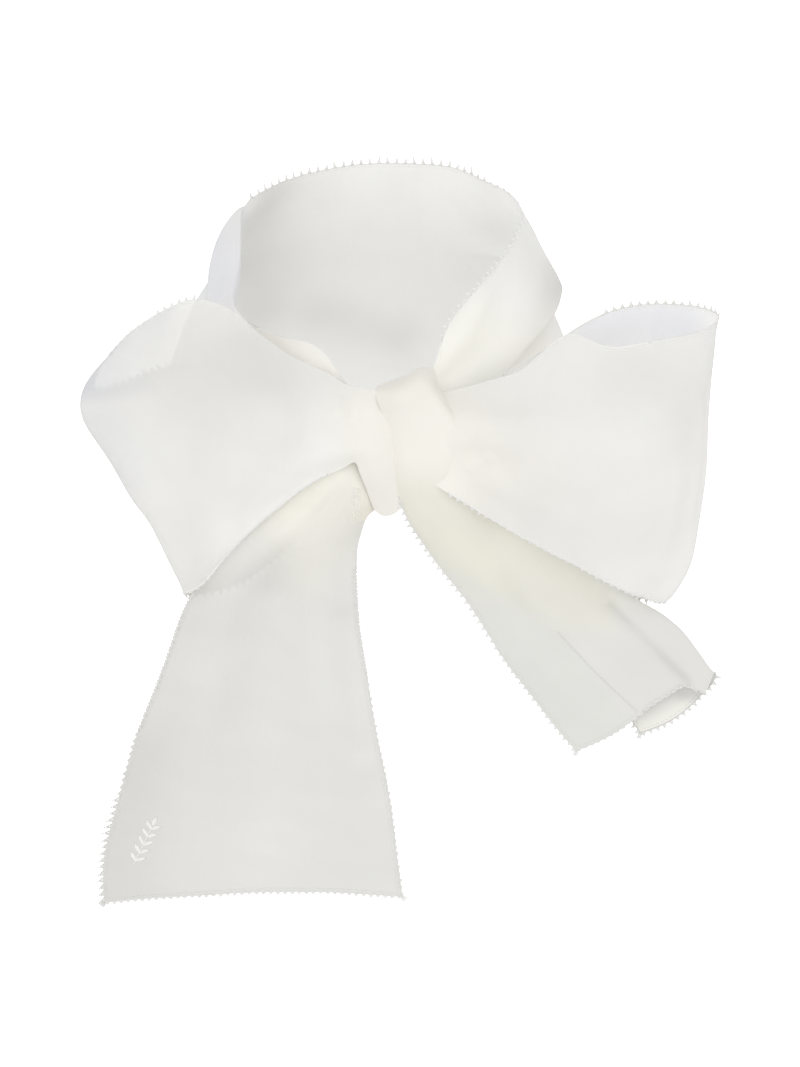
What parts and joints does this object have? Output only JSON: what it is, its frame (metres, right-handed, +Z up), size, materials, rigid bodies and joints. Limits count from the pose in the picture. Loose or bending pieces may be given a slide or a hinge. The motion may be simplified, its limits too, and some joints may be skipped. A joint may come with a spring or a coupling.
{
  "type": "neck scarf tied in a bow",
  "caption": "Sheer ribbon neck scarf, open band round the neck, tied at the front in a wide two-loop bow with two hanging tails.",
  "frame": {"origin": "centre of the neck hole, level with the middle of the sides of the band", "axes": "+Z up along the wearer's neck, -Y to the front where the bow is, +X to the right as seen from the front"},
  "size_m": [0.3028, 0.2002, 0.3453],
  "materials": {
    "organza_band": "sheer crisp organza, soft sheen",
    "organza_knot": "layered organza, soft sheen",
    "organza_loop": "sheer crisp organza, soft sheen",
    "organza_tail": "sheer crisp organza, soft sheen"
  },
  "bodies": {
    "root": {"neck_band": "organza_band", "knot": "organza_knot", "left_loop": "organza_loop", "right_loop": "organza_loop", "left_tail": "organza_tail", "right_tail": "organza_tail"}
  },
  "joints": []
}
